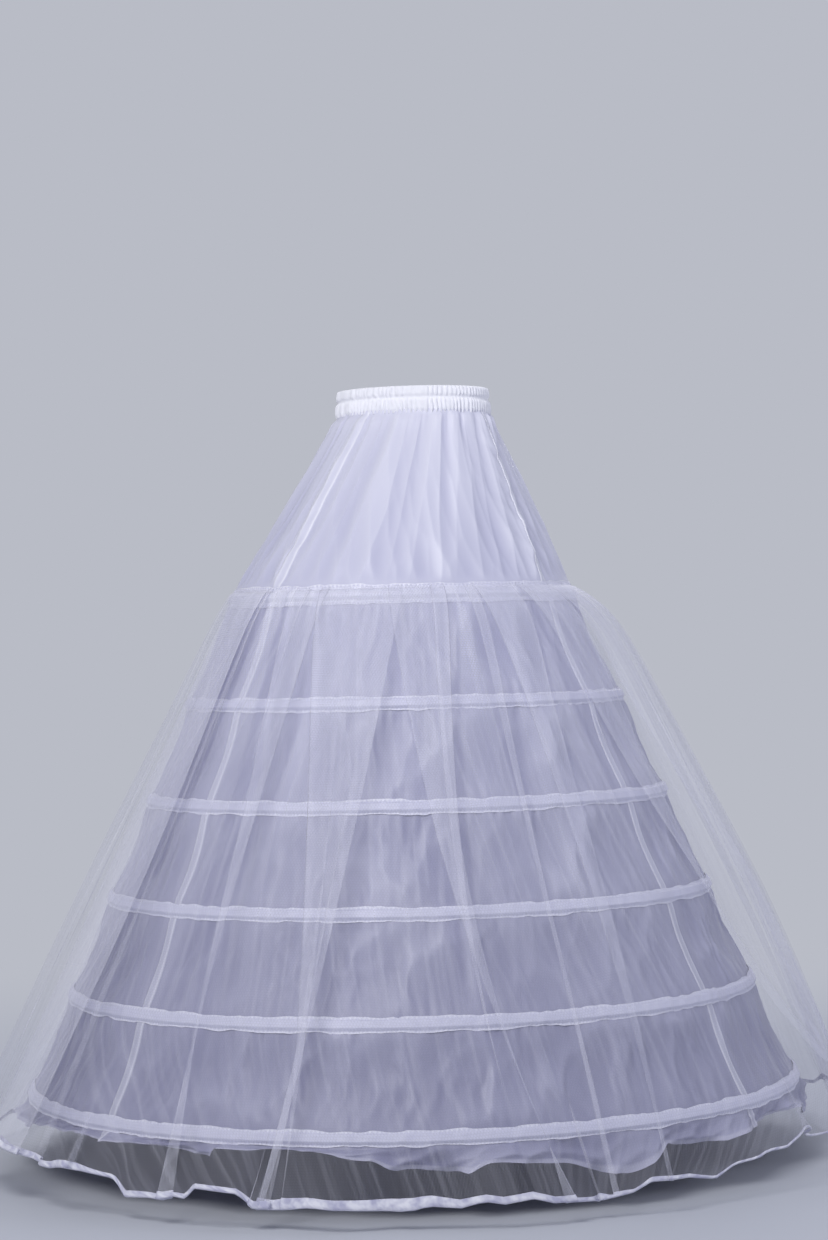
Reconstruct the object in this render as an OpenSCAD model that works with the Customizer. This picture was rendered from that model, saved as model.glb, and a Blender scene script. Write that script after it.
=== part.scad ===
// Six-hoop crinoline petticoat: a gored lining on six sprung hoops, a shirred elastic waist
// and a net overskirt with a bound hem.
// Millimetres. The origin is the middle of the waist opening, level with the top of the waistband.
// +Z is up, the wearer's front faces -Y and the wearer's left is +X.

/* [Waist] */
// Width of the waist opening, side to side
waist_w = 228; // [200:1:270]
// Depth of the waist opening, front to back
waist_d = 162; // [140:1:200]
// Height of the waistband
band_h = 35; // [32:1:45]
// Thickness of the waistband's cloth
band_t = 0.8; // [0.6:0.1:1.2]
// Height of each of the two elastics
elastic_h = 11; // [8:0.5:12]
// Thickness of each elastic
elastic_t = 1.2; // [0.8:0.1:1.6]
// Puckers drawn up round the waistband
band_puckers = 34; // [24:1:48]
// Height of a pucker
pucker_h = 1; // [0.3:0.1:1.5]

/* [Cage] */
// Diameter of the lining at the top hoop
top_hoop_d = 482; // [440:1:520]
// Diameter of the lining at the bottom hoop
bottom_hoop_d = 1070; // [900:5:1150]
// Depth of the top hoop below the waist
top_hoop_drop = 289; // [260:1:320]
// Distance from the top hoop down to the second one
top_gap = 145; // [120:1:170]
// Distance between the other hoops
hoop_pitch = 133; // [110:1:150]
// How far the cage hangs forward of the middle of the waist
cage_forward = 13; // [0:1:20]
// How far it hangs to the wearer's right of the middle of the waist
cage_aside = 16; // [0:1:20]

/* [Hoops] */
// Width of the coated spring steel strip
hoop_w = 8; // [6:0.5:10]
// Thickness of the strip
hoop_t = 1.4; // [1:0.1:2]
// Space between the two ends of a strip
hoop_end_gap = 2; // [1:0.5:4]
// Length of the sleeve that joins the ends of a strip
joiner_l = 40; // [25:1:60]
// Wall of that sleeve
joiner_wall = 0.5; // [0.4:0.1:0.8]
// Turn from each hoop's sleeve to the next one's, so that they don't stack up
joiner_step = 7; // [0:1:15]

/* [Casings] */
// Height of the tape over the top hoop
top_casing_h = 29; // [24:1:36]
// Height of the tape over each other hoop
casing_h = 20; // [18:1:28]
// Thickness of the tape
casing_t = 0.6; // [0.5:0.1:1]

/* [Lining] */
// Thickness of the lining
cloth_t = 0.7; // [0.5:0.1:0.9]
// Width of the lapped seam between two gores
seam_lap = 12; // [8:1:18]
// Length of lining that hangs free below the bottom hoop
lining_tail = 36; // [30:1:60]
// Ripple of the free edge, in and out
tail_ripple = 13; // [4:1:18]
// Rise and fall of the free edge
tail_dip = 14; // [2:1:16]
// Gathers that the waistband draws up in the yoke
yoke_gathers = 26; // [16:1:32]
// Depth of those gathers
gather_depth = 8; // [3:0.5:10]

/* [Net overskirt] */
// Length of net that hangs below the bottom hoop
net_tail = 74; // [62:1:150]
// Thickness of the net
net_t = 0.8; // [0.6:0.1:1.2]
// How far the net springs away from the cage just below its top edge
net_spring = 24; // [16:1:36]
// How far its hem stands outside the bottom hoop
net_hem_stand = 70; // [66:1:110]
// Bulge of the net above the bottom hoop
net_bulge = 36; // [20:1:45]
// Deep folds in the net
net_folds = 19; // [12:1:26]
// Depth of the folds at the hem, from the middle to a crest
net_fold_depth = 22; // [8:1:26]
// Rise and fall of the net's hem
hem_wave = 7; // [0:1:12]
// Height of the ribbon that binds the hem
binding_h = 11; // [8:0.5:16]
// Thickness of the ribbon
binding_t = 0.7; // [0.5:0.1:1]

/* [Hidden] */
HOOPS = 6;
GORES = ["front_left", "back_left", "back_right", "front_right"];
$fn = 96;

// Clearance between sewn layers, and between the two layers of a lapped seam
sewn_fit = 0.3;
lap_fit = 0.15;

// Folds are sums of waves round the skirt, each [how many, its share of the depth, its phase]
yoke_waves = [[17, 0.5, 40], [11, 0.35, 0]];
tail_ripple_waves = [[19, 0.6, 0], [12, 0.4, 75]];
tail_dip_waves = [[14, 0.6, -70], [23, 0.4, 0]];
net_waves = [[net_folds, 0.5, 0], [11, 0.28, 50], [29, 0.22, -90]];
hem_waves = [[9, 0.6, -60], [22, 0.4, 0]];
function wave(angle, waves) = [for (w = waves) w[1] * cos(w[0] * angle + w[2])] * [for (w = waves) 1];

// Seam angles, anticlockwise from +X: near the front, then the left side, the back and the right side
seam_angles = [-98, 4, 90, 176, 262];

// Waistband: a strip folded over at the top, sewn through between the two elastics
gore_sewn_in = 4;
stitch_w = 1.5;
band_channel = max(elastic_t, 2 * cloth_t + lap_fit) + 2 * sewn_fit;
band_depth = 2 * band_t + band_channel;
stitch_drop = (band_h - gore_sewn_in + band_t) / 2;
band_columns = 2 * band_puckers;

// Cage: every hoop lies on one cone, whose axis is off the middle of the waist
cage_middle = [-cage_aside, -cage_forward];
bottom_hoop_drop = top_hoop_drop + top_gap + (HOOPS - 2) * hoop_pitch;
cage_slope = (bottom_hoop_d - top_hoop_d) / 2 / (bottom_hoop_drop - top_hoop_drop);
cage_angle = atan(cage_slope);
function cage_r(drop) = top_hoop_d / 2 + cage_slope * (drop - top_hoop_drop);
function hoop_drop(i) = i == 1 ? top_hoop_drop : top_hoop_drop + top_gap + (i - 2) * hoop_pitch;
function casing_height(i) = i == 1 ? top_casing_h : casing_h;

// Pocket between the lining and a casing: the joiner fits it, and the strip fits the joiner
joiner_w = hoop_w + 2 * (joiner_wall + lap_fit);
joiner_t = hoop_t + 2 * (joiner_wall + lap_fit);
pocket_w = joiner_w + 2 * sewn_fit;
pocket_t = joiner_t + 2 * sewn_fit;
crown_n = pocket_t + casing_t;

// Lining rows, as drops below the waist
gore_columns = 25;
gore_top = band_h - gore_sewn_in;
yoke_clear = 1;
yoke_top = band_h + yoke_clear;
yoke_bottom = top_hoop_drop - top_casing_h / 2 * cos(cage_angle);
tail_top = bottom_hoop_drop + casing_h / 2 * cos(cage_angle);
tail_bottom = bottom_hoop_drop + lining_tail;
yoke_rows = [0, 0.1, 0.3, 0.62, 1];
gather_start = 0.05;
fine_gathers = 0.6;
tail_rows = [0, 0.5, 1];

// Net rows, as shares of its length below the top casing
net_columns = 28;
net_top = top_hoop_drop - (top_casing_h / 2 - stitch_w) * cos(cage_angle);
net_crown = top_hoop_drop - (pocket_w / 2 + 2 * casing_t) * cos(cage_angle) - crown_n * sin(cage_angle);
net_rows = [0.06, 0.2, 0.45, 0.72, 0.94, 1];
net_drop = bottom_hoop_drop + net_tail;
net_gap = 0.3;
spring_length = 30;
bulge_low = 1.6;
fold_growth = 0.7;
hem_wave_growth = 3;

// Waist ellipse, u outside the waist opening
function waist_point(angle, u) = [(waist_w / 2 + u) * cos(angle), (waist_d / 2 + u) * sin(angle)];
function outward(angle) = [cos(angle), sin(angle)];

// A shell between two like grids of points, grid[column][row], with columns anticlockwise and rows downward
module cloth_shell(outer, inner) {
    last_column = len(outer) - 1;
    last_row = len(outer[0]) - 1;
    rows = last_row + 1;
    half = (last_column + 1) * rows;
    points = concat([for (c = outer) each c], [for (c = inner) each c]);
    faces = concat(
        [for (c = [0:last_column - 1], r = [0:last_row - 1])
            let (a = c * rows + r, b = a + rows)
            each [[a, b, b + 1], [a, b + 1, a + 1]]],
        [for (c = [0:last_column - 1], r = [0:last_row - 1])
            let (a = half + c * rows + r, b = a + rows)
            each [[a, b + 1, b], [a, a + 1, b + 1]]],
        [for (c = [0:last_column - 1])
            let (a = c * rows, b = a + rows)
            each [[half + a, half + b, b], [half + a, b, a]]],
        [for (c = [0:last_column - 1])
            let (a = c * rows + last_row, b = a + rows)
            each [[half + a, b, half + b], [half + a, a, b]]],
        [for (r = [0:last_row - 1])
            each [[half + r, r, r + 1], [half + r, r + 1, half + r + 1]]],
        [for (r = [0:last_row - 1])
            let (a = last_column * rows + r)
            each [[half + a, a + 1, a], [half + a, half + a + 1, a + 1]]]
    );
    polyhedron(points = points, faces = faces);
}

// A closed ring through like sections, sections[column][point], each one anticlockwise along the ring
module cloth_ring(sections) {
    columns = len(sections);
    count = len(sections[0]);
    faces = [for (c = [0:columns - 1], p = [0:count - 1])
        let (
            next_column = (c + 1) % columns,
            next_point = (p + 1) % count,
            a = c * count + p,
            b = c * count + next_point,
            d = next_column * count + next_point,
            e = next_column * count + p
        )
        each [[a, b, d], [a, d, e]]];
    polyhedron(points = [for (s = sections) each s], faces = faces);
}

// Waistband section as [distance outside the opening, height, share of a pucker]
band_section = [
    [0, -band_h, 0],
    [band_t, -band_h, 0],
    [band_t, -band_t, 0],
    [band_t + band_channel, -band_t, 0],
    [band_t + band_channel, -stitch_drop + stitch_w, 0],
    [band_t + lap_fit, -stitch_drop, 0],
    [band_t + band_channel, -stitch_drop - stitch_w, 0],
    [band_t + band_channel, -band_h, 0],
    [band_depth, -band_h, 0.4],
    [band_depth, -(stitch_drop + band_h) / 2, 1],
    [band_depth, -stitch_drop - stitch_w, 0.6],
    [2 * band_t + lap_fit, -stitch_drop, 0],
    [band_depth, -stitch_drop + stitch_w, 0.6],
    [band_depth, -band_t, 1],
    [band_depth - band_t, 0, 0],
    [band_t, 0, 0],
    [0, -band_t, 0]
];

module waistband() {
    color("#f2f2fa")
    cloth_ring([for (c = [0:band_columns - 1])
        let (angle = 360 * c / band_columns)
        [for (s = band_section)
            let (p = waist_point(angle, s[0] + pucker_h * s[2] * (c % 2)))
            [p[0], p[1], s[1]]]]);
}

module waist_elastic(middle_drop) {
    u = band_t + (band_channel - elastic_t) / 2;
    angles = [for (c = [0:band_columns - 1]) 360 * c / band_columns];
    color("#e6e6ea")
    translate([0, 0, -middle_drop - elastic_h / 2])
    linear_extrude(elastic_h)
    difference() {
        polygon([for (a = angles) waist_point(a, u + elastic_t)]);
        polygon([for (a = angles) waist_point(a, u)]);
    }
}

// The lining's outer face at a drop below the waist. In the yoke it goes from the waist's ellipse to the
// cage's circle, gathered finely at the top and in broader folds below. Under the cage it ripples.
function yoke_share(drop) = min(1, max(0, (drop - yoke_top) / (yoke_bottom - yoke_top)));
function gather(angle, share) = gather_depth * (
    fine_gathers * min(1, share / gather_start) * pow(1 - share, 2) * cos(yoke_gathers * angle)
    + sin(180 * share) * wave(angle, yoke_waves));
function tail_share(drop) = max(0, (drop - tail_top) / (tail_bottom - tail_top));
function lining_point(angle, drop, inset) =
    let (
        share = yoke_share(drop),
        tail = tail_share(drop),
        waist = waist_point(angle, band_t + band_channel - sewn_fit),
        fold = gather(angle, share) + tail_ripple * tail * wave(angle, tail_ripple_waves) - inset,
        cage = cage_middle + cage_r(max(drop, yoke_bottom)) * outward(angle),
        p = (1 - share) * waist + share * cage + fold * outward(angle)
    )
    [p[0], p[1], -drop - tail_dip * tail * wave(angle, tail_dip_waves)];

// The angle that a width of cloth takes up at a drop, without its folds
function width_angle(width, drop) =
    let (share = yoke_share(drop))
    width / ((1 - share) * (waist_w + waist_d) / 4 + share * cage_r(max(drop, yoke_bottom))) * 180 / PI;

lining_drops = concat(
    [gore_top],
    [for (s = yoke_rows) yoke_top + s * (yoke_bottom - yoke_top)],
    [for (s = tail_rows) tail_top + s * (tail_bottom - tail_top)]
);

// Columns of a gore as [angle, inset]. Its far edge steps in and laps behind the next gore's first strip.
function gore_column(g, c, drop) =
    let (
        lap = width_angle(seam_lap, drop),
        step = width_angle(2 * cloth_t, drop),
        start = seam_angles[g],
        end = seam_angles[g + 1]
    )
    c == 0 ? [start, 0]
    : c <= gore_columns ? [start + lap + (end - step - start - lap) * (c - 1) / (gore_columns - 1), 0]
    : [end + (c == gore_columns + 1 ? 0 : lap), cloth_t + lap_fit];

module lining_gore(g) {
    grid = [for (layer = [0, cloth_t])
        [for (c = [0:gore_columns + 2])
            [for (drop = lining_drops)
                let (column = gore_column(g, c, drop))
                lining_point(column[0], drop, column[1] + layer)]]];
    color("#d9d9ea")
    cloth_shell(grid[0], grid[1]);
}

// Sections that lie on the lining at hoop i: x is outward from the cloth, y is up its slope
module round_cage(i, start = 0, angle = 360) {
    translate(cage_middle)
    rotate(start)
    rotate_extrude(angle = angle)
    translate([cage_r(hoop_drop(i)), -hoop_drop(i)])
    rotate(cage_angle)
    children();
}

function arc_angle(i, length) = length / cage_r(hoop_drop(i)) * 180 / PI;
function joiner_angle(i) = 90 + (i - (HOOPS + 1) / 2) * joiner_step;

module hoop(i) {
    open_angle = arc_angle(i, hoop_end_gap);
    edge = hoop_t / 3;
    w = hoop_w / 2;
    t = hoop_t / 2;
    color("#f4f4f2")
    round_cage(i, joiner_angle(i) + open_angle / 2, 360 - open_angle)
    translate([pocket_t / 2, 0])
    polygon([[t, -w + edge], [t, w - edge], [t - edge, w], [edge - t, w],
        [-t, w - edge], [-t, -w + edge], [edge - t, -w], [t - edge, -w]]);
}

module hoop_joiner(i) {
    sleeve_angle = arc_angle(i, joiner_l);
    color("#c8c8cc")
    round_cage(i, joiner_angle(i) - sleeve_angle / 2, sleeve_angle)
    translate([pocket_t / 2, 0])
    difference() {
        square([joiner_t, joiner_w], center = true);
        square([hoop_t + 2 * lap_fit, hoop_w + 2 * lap_fit], center = true);
    }
}

// A tape sewn to the lining along both edges, standing off it over the hoop
module hoop_casing(i) {
    h = casing_height(i) / 2;
    p = pocket_w / 2;
    color("#eeeef8")
    round_cage(i)
    polygon([
        [lap_fit, -h],
        [lap_fit + casing_t, -h],
        [lap_fit + casing_t, -p - 2 * casing_t],
        [crown_n, -p - casing_t],
        [crown_n, p + casing_t],
        [lap_fit + casing_t, p + 2 * casing_t],
        [lap_fit + casing_t, h],
        [lap_fit, h],
        [lap_fit, p + casing_t],
        [pocket_t, p],
        [pocket_t, -p],
        [lap_fit, -p - casing_t]
    ]);
}

// The net's inner face. Its top edge is sewn to the top casing, then it passes over the hoop,
// springs away from the cage and falls in folds that deepen to the hem.
net_seat = (casing_t + lap_fit + sewn_fit) / cos(cage_angle);
net_crown_r = cage_r(net_crown) + (crown_n + sewn_fit) / cos(cage_angle);
net_hem_r = bottom_hoop_d / 2 + net_hem_stand;
function net_fall(drop) = max(0, (drop - net_crown) / (net_drop - net_crown));
function net_middle_r(drop) =
    let (fall = net_fall(drop))
    net_crown_r + (net_hem_r - net_crown_r) * fall
    + net_spring * (1 - exp(-(drop - net_crown) / spring_length)) * (1 - fall)
    + net_bulge * sin(180 * pow(fall, bulge_low));
function net_point(angle, drop, layer) =
    let (
        fall = net_fall(drop),
        fold = net_fold_depth * pow(fall, fold_growth) * wave(angle, net_waves),
        middle = drop < net_crown ? cage_r(drop) + net_seat : net_middle_r(drop),
        p = cage_middle + (middle + fold + layer) * outward(angle)
    )
    [p[0], p[1], -drop + hem_wave * pow(fall, hem_wave_growth) * wave(angle, hem_waves)];

net_drops = concat(
    [net_top, net_crown],
    [for (s = net_rows) net_crown + s * (net_drop - net_crown)]
);

// Columns of a net panel, which stop just short of its seams
function net_angle(g, c) =
    let (gap = net_gap / cage_r(net_drop) * 90 / PI)
    seam_angles[g] + gap + (seam_angles[g + 1] - seam_angles[g] - 2 * gap) * c / net_columns;

module net_panel(g) {
    grid = [for (layer = [net_t, 0])
        [for (c = [0:net_columns])
            [for (drop = net_drops) net_point(net_angle(g, c), drop, layer)]]];
    color("#f6f6ff", 0.5)
    cloth_shell(grid[0], grid[1]);
}

// A ribbon folded round the net's edge. Its section is
// [distance outside the net's inner face, height above the hem]
binding_inside = -sewn_fit;
binding_outside = net_t + sewn_fit;
binding_section = [
    [binding_outside + binding_t, -sewn_fit - binding_t],
    [binding_outside + binding_t, binding_h],
    [binding_outside, binding_h],
    [binding_outside, -sewn_fit],
    [binding_inside, -sewn_fit],
    [binding_inside, binding_h],
    [binding_inside - binding_t, binding_h],
    [binding_inside - binding_t, -sewn_fit - binding_t]
];

// It lies along the net's lowest strip, between the last two rows
function binding_point(angle, section) =
    let (
        hem = net_point(angle, net_drop, section[0]),
        above = net_point(angle, net_drops[len(net_drops) - 2], section[0]),
        share = section[1] / (above[2] - hem[2])
    )
    hem + share * (above - hem);

module net_hem_binding() {
    angles = [for (g = [0:len(GORES) - 1], c = [0:net_columns - 1]) net_angle(g, c)];
    color("#fafaff")
    cloth_ring([for (a = angles) [for (s = binding_section) binding_point(a, s)]]);
}

waistband();
waist_elastic((band_t + stitch_drop) / 2);  // waist_elastic_upper
waist_elastic((stitch_drop + gore_top) / 2);  // waist_elastic_lower
for (g = [0:len(GORES) - 1])
    lining_gore(g);
for (i = [1:HOOPS])
    hoop(i);
for (i = [1:HOOPS])
    hoop_joiner(i);
for (i = [1:HOOPS])
    hoop_casing(i);
for (g = [0:len(GORES) - 1])
    net_panel(g);
net_hem_binding();
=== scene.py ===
import bpy
import numpy as np
from mathutils import Matrix, Vector


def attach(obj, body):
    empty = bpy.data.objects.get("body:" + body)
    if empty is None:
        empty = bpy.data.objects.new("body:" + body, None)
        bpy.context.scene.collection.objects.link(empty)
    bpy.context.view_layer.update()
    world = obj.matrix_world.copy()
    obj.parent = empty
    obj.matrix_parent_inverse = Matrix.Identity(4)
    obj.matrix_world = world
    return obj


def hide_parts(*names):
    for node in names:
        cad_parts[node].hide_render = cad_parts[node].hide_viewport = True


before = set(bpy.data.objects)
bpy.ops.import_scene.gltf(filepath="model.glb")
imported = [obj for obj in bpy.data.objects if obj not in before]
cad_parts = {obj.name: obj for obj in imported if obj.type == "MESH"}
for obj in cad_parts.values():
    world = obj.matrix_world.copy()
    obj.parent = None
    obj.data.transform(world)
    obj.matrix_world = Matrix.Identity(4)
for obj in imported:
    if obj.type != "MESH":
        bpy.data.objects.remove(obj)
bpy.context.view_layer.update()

# Lining: four shaped gores of satin-weave polyester, lapped and sewn to each other down the sides and
# gathered into the waistband. It carries every hoop, and hangs loose in a rolled edge below the lowest one.
mm = 0.001
gores = ["front_left", "back_left", "back_right", "front_right"]
seam_angles = [-98, 4, 90, 176, 262]
hoop_drops = np.array([289, 434, 567, 700, 833, 966]) * mm
tape_heights = np.array([29, 20, 20, 20, 20, 20]) * mm
top_hoop_r, bottom_hoop_r = 241 * mm, 535 * mm
cage_middle = np.array([-16, -13]) * mm
waist_half_w, waist_half_d = 114 * mm, 81 * mm
band_h = 35 * mm
band_inside_t, band_flare = 2.65 * mm, 3 * mm
gore_top, yoke_top = 31 * mm, 36 * mm
tail_length = 36 * mm
seam_lap, tucked_under = 12 * mm, 0.9 * mm
rolled_edge = 6 * mm

cage_slope = (bottom_hoop_r - top_hoop_r) / (hoop_drops[-1] - hoop_drops[0])
cage_angle = np.arctan(cage_slope)
tape_reach = tape_heights / 2 * np.cos(cage_angle)
yoke_bottom = hoop_drops[0] - tape_reach[0]
tail_top = hoop_drops[-1] + tape_reach[-1]
tail_bottom = hoop_drops[-1] + tail_length


def cage_radius(drop):
    """Radius of the cone that all six hoops lie on, at a drop below the waist."""
    return top_hoop_r + cage_slope * (drop - hoop_drops[0])


def degrees_from(at, angle):
    """Degrees round the skirt from one angle to another, from -180 to 180."""
    return (angle - at + 180) % 360 - 180


def waves(angle, parts):
    """Folds round the skirt: each part is how many, its share of the depth and its phase in degrees."""
    return sum(share * np.cos(np.radians(count * angle + phase)) for count, share, phase in parts)


relief_rows = 97


def crumple(angle, down, cells, seed):
    """Smooth random relief from -1 to 1 that closes round the skirt, with that many cells to the turn."""
    heights = np.random.default_rng(seed).uniform(-1, 1, (cells, relief_rows))
    across = angle / 360 % 1 * cells
    column, row = np.floor(across).astype(int), np.floor(down).astype(int)
    x, y = across - column, down - row
    x, y = x * x * (3 - 2 * x), y * y * (3 - 2 * y)
    left, right, above, below = column % cells, (column + 1) % cells, row % relief_rows, (row + 1) % relief_rows
    upper = (1 - x) * heights[left, above] + x * heights[right, above]
    lower = (1 - x) * heights[left, below] + x * heights[right, below]
    return (1 - y) * upper + y * lower


def facets(angle, down, cells, seed):
    """Crushed relief from -1 to about 1, hollow panels between sharp ridges, with that many panels to the turn."""
    middles = np.random.default_rng(seed).uniform(0.1, 0.9, (cells, relief_rows, 2))
    across = angle / 360 % 1 * cells
    column, row = np.floor(across).astype(int), np.floor(down).astype(int)
    nearest = 9 + 0 * across * down
    for i in (-1, 0, 1):
        for j in (-1, 0, 1):
            middle = middles[(column + i) % cells, (row + j) % relief_rows]
            aside, below = column + i + middle[..., 0] - across, row + j + middle[..., 1] - down
            nearest = np.minimum(nearest, aside ** 2 + below ** 2)
    return 4 * nearest - 1


def hang_line(angle, points, eased):
    """Values at angles on a line through [angle, value] points that closes round the skirt, eased or straight."""
    at, values = np.array(points + [[points[0][0] + 360, points[0][1]]], float).T
    place = np.interp((angle - at[0]) % 360, at - at[0], np.arange(len(at)))
    before = np.minimum(np.floor(place).astype(int), len(at) - 2)
    part = place - before
    part = part * part * (3 - 2 * part) if eased else part
    return values[before] + part * (values[before + 1] - values[before])


def yoke_folds(angle, share):
    """Gathers from the band to the top hoop: close and puffed under the band, then long folds down to the hoop."""
    close = np.exp(-share / 0.11) * crumple(angle, 2 * share, 126, 7)
    gathers = (1 - share) ** 2 * np.cos(np.radians(26 * angle)) * (0.6 + 0.5 * crumple(angle, 0 * share, 23, 4))
    swayed = angle + 4 * share + 2 * crumple(angle, 2 * share, 24, 2)
    folds = (0.5 + share) * (1 - 0.5 * share) * facets(swayed, 0.7 * share, 42, 3)
    drawn = share * facets(angle - 18 * share, 2.4 * share, 56, 9)
    broad = np.sin(np.pi * share) * waves(angle, [(17, 0.5, 40), (11, 0.35, 0)])
    puff = np.exp(-((share - 0.04) / 0.04) ** 2)
    relief = 2 * close + 2.4 * gathers + 2.8 * folds + 1.7 * drawn + 4 * broad + 1.5 * puff
    return mm * np.minimum(1, share / 0.03) * np.minimum(1, (1 - share) / 0.05) * relief


def bay_wrinkles(angle, drop):
    """Wrinkles of the cloth between casings, as streaks, dents and puckers at the stitching, and how far it sags."""
    streaky_side = -108
    relief, sag = np.zeros_like(drop), np.zeros_like(drop)
    for bay in range(len(hoop_drops) - 1):
        top, bottom = hoop_drops[bay] + tape_reach[bay], hoop_drops[bay + 1] - tape_reach[bay + 1]
        along = np.clip((drop - top) / (bottom - top), 0, 1)
        slack = np.sin(np.pi * along)
        side = np.cos(np.radians(2 * (angle - streaky_side)))
        streaky = 0.45 + 0.4 * side + 0.4 * crumple(angle, 1.2 * along + 7 * bay, 18, 20 + bay)
        streaky = np.clip(streaky, 0.1, 1)
        swayed = angle + 1.6 * crumple(angle, 3 * along + 9 * bay, 60, 25 + bay)
        streaks = facets(swayed + 1.5 * along, 0.9 * along + 5 * bay, 84 + 18 * bay, 30 + bay)
        fine = crumple(swayed - along, 1.6 * along + 3 * bay, 150 + 32 * bay, 35 + bay)
        dents = facets(angle + 7 * along + 2 * fine, 1.2 * along + 9 * bay, 24 + 5 * bay, 40 + bay)
        creases = np.maximum(0, facets(swayed - 9 * along, 1.8 * along + 3 * bay, 34 + 8 * bay, 45 + bay))
        streaks = streaks * (0.75 + 0.5 * crumple(angle, 1.7 * along + 2 * bay, 44, 15 + bay))
        drawn, pressed = 2.3 * streaks + 0.7 * fine, 2.9 * dents + 2.6 * creases
        relief += slack ** 0.5 * mm * (streaky * drawn + (1 - streaky) * pressed + 1.4 * dents)
        sag += 5 * mm * slack
        reach = 15 * mm
        near_tape = np.exp(-along * (bottom - top) / reach) + np.exp((along - 1) * (bottom - top) / reach)
        inside = np.minimum(1, 25 * along) * np.minimum(1, 25 * (1 - along))
        relief += 2 * mm * inside * near_tape * crumple(angle, 0 * drop, 240 + 45 * bay, 50 + bay)
    return relief, sag


def seam_puckers(angle, drop):
    """Slanting wrinkles and a low ridge that the sewing draws up along each seam, and how it calms the other ones."""
    relief, calm = np.zeros_like(drop), np.ones_like(drop)
    for seam in seam_angles[:-1]:
        away = np.abs(np.radians(degrees_from(seam, angle))) * np.maximum(cage_radius(drop), waist_half_w)
        relief += 3 * mm * np.exp(-(away / (9 * mm)) ** 2)
        slant = drop / (13 * mm) + away / (16 * mm)
        relief += 2.4 * mm * np.exp(-away / (24 * mm)) * crumple(0 * angle + seam, slant, 9, 55)
        calm *= 1 - 0.8 * np.exp(-(away / (26 * mm)) ** 2)
    return relief, calm


# Lower edge of the lining, as [angle, length below the bottom hoop in mm]: as it hangs where it shows from the front
# left, and scattered round the rest. Ruffles in it are [angle, half width in degrees, overlap, depth in mm].
dice = np.random.default_rng(14)
tail_edge = [
    [-115, 20], [-99, 17], [-89, 16], [-78, 24], [-75, 11], [-65, 13], [-56, 22], [-52, 37], [-46, 39], [-42, 43],
    [-39, 32], [-31, 37], [-25, 56], [-20, 58], [-14, 30], [-9, 34], [-3, 36], [2, 31], [10, 28], [18, 26],
] + [[at, dice.uniform(12, 48)] for at in np.linspace(25, 236, 25)]
ruffles = [
    [-78, 3, 0.6, 5], [-44, 3, 0.7, 6], [-24, 3.6, 0.8, 8], [-14, 2.8, 0.7, -6], [-5, 2.8, 0.6, 4], [-97, 3, 0.6, 5],
] + [
    [at, dice.uniform(2, 3.6), dice.uniform(0.5, 0.8), dice.choice([-1, 1]) * dice.uniform(4, 7)]
    for at in np.arange(61, 205, 13)]


def lining_surface(angle, drop):
    """Points on the lining's outer face at angles in degrees and drops below the waist, and how proud each stands."""
    share = np.clip((drop - yoke_top) / (yoke_bottom - yoke_top), 0, 1)
    tail = np.clip((drop - tail_top) / (tail_bottom - tail_top), 0, 1)
    wrinkles, sag = bay_wrinkles(angle, drop)
    puckers, calm = seam_puckers(angle, drop)
    proud = calm * wrinkles + yoke_folds(angle, share) + np.minimum(1, 30 * share * (1 - share)) * puckers
    proud = proud + 8 * mm * tail * (waves(angle, [(19, 0.6, 0), (12, 0.4, 75)]) + 0.7 * crumple(angle, tail, 60, 5))
    proud = proud + 3.5 * mm * np.sqrt(tail) * facets(angle + 3 * tail, 1.5 * tail, 100, 8)
    longer = tail * (hang_line(angle, tail_edge, True) * mm - tail_length + 3 * mm * crumple(angle, 0 * drop, 100, 6))
    turned = 0 * angle
    for at, width, overlap, depth in ruffles:
        x = degrees_from(at, angle) / width
        turned = turned - overlap * width * x * np.exp(-x * x / 2) * tail
        proud = proud + depth * mm * 1.2 * x * np.exp(-x * x / 2) * tail
    out = proud - sag
    cos, sin = np.cos(np.radians(angle + turned)), np.sin(np.radians(angle + turned))
    cage = share * cage_radius(np.maximum(drop, yoke_bottom)) + out
    x = (1 - share) * (waist_half_w + band_inside_t + band_flare) * cos + cage * cos + share * cage_middle[0]
    y = (1 - share) * (waist_half_d + band_inside_t + band_flare) * sin + cage * sin + share * cage_middle[1]
    return np.stack([x, y, -drop - longer], -1), proud


def along_and_down(grid):
    """Lengths along and down the cloth at each point of grid[column, row], from its middle and its top."""
    along = np.cumsum(np.linalg.norm(np.diff(grid, axis=0, prepend=grid[:1]), axis=2), axis=0)
    down = np.cumsum(np.linalg.norm(np.diff(grid, axis=1, prepend=grid[:, :1]), axis=2), axis=1)
    return along - along[len(along) // 2], down


def sew_sheet(name, grid, material, masks):
    """Cloth through grid[column, row], with UVs in metres along and down it and a value per point in each mask."""
    columns, rows = grid.shape[:2]
    index = np.arange(columns * rows).reshape(columns, rows)
    quads = np.stack([index[:-1, :-1], index[:-1, 1:], index[1:, 1:], index[1:, :-1]], -1).reshape(-1, 4)
    mesh = bpy.data.meshes.new(name)
    mesh.from_pydata(grid.reshape(-1, 3).tolist(), [], quads.tolist())
    mesh.polygons.foreach_set("use_smooth", np.ones(len(quads), bool))
    lengths = np.stack(along_and_down(grid), -1).reshape(-1, 2)
    mesh.uv_layers.new(name="cloth").data.foreach_set("uv", lengths[quads.ravel()].astype(np.float32).ravel())
    for mask, values in masks.items():
        mesh.attributes.new(mask, "FLOAT", "POINT").data.foreach_set("value", values.astype(np.float32).ravel())
    mesh.materials.append(material)
    sheet = bpy.data.objects.new(name, mesh)
    bpy.context.scene.collection.objects.link(sheet)
    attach(sheet, "root")
    return sheet


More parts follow.
